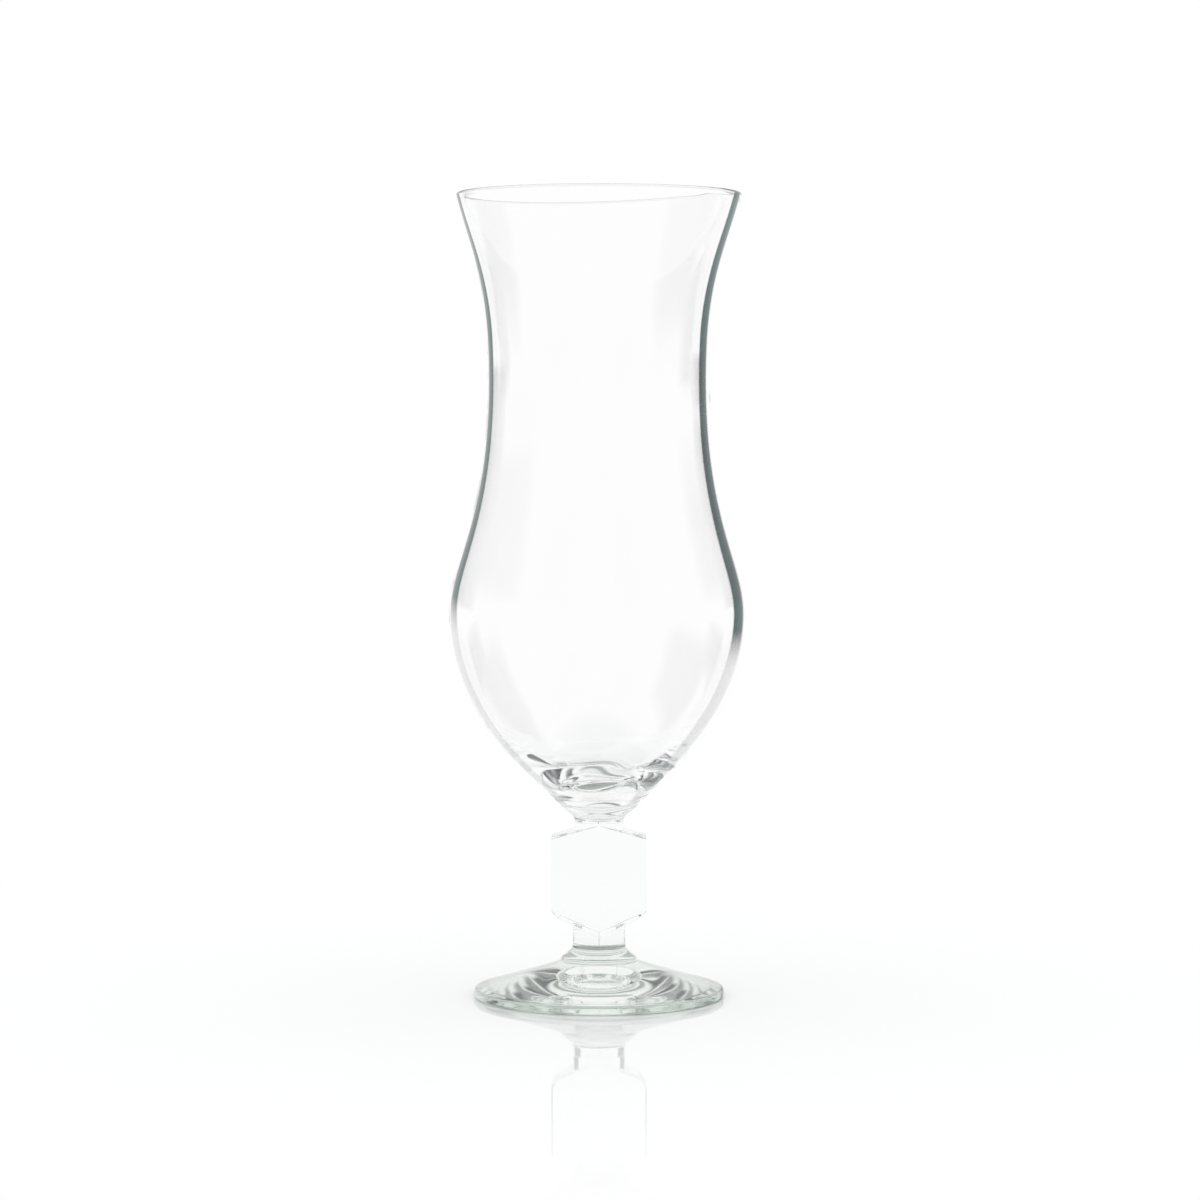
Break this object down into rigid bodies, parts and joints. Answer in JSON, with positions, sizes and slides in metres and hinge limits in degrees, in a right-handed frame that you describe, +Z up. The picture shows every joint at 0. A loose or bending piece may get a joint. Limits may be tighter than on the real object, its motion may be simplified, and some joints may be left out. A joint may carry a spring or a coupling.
{
  "type": "hurricane glass",
  "caption": "Tall clear hurricane glass with a flared rim, waisted bowl and rounded bulge on a short flat-sided block stem and a round foot, for serving iced drinks.",
  "frame": {"origin": "centre of the standing ring under the foot, on the surface the glass stands on", "axes": "+Z up along the axis of the bowl, -Y towards the flat front of the stem's block, +X to the right seen from the front"},
  "size_m": [0.08, 0.08, 0.214],
  "materials": {
    "clear_glass": "fire-polished clear soda-lime glass"
  },
  "bodies": {
    "root": {"bowl": "clear_glass", "stem": "clear_glass", "foot": "clear_glass"}
  },
  "joints": []
}
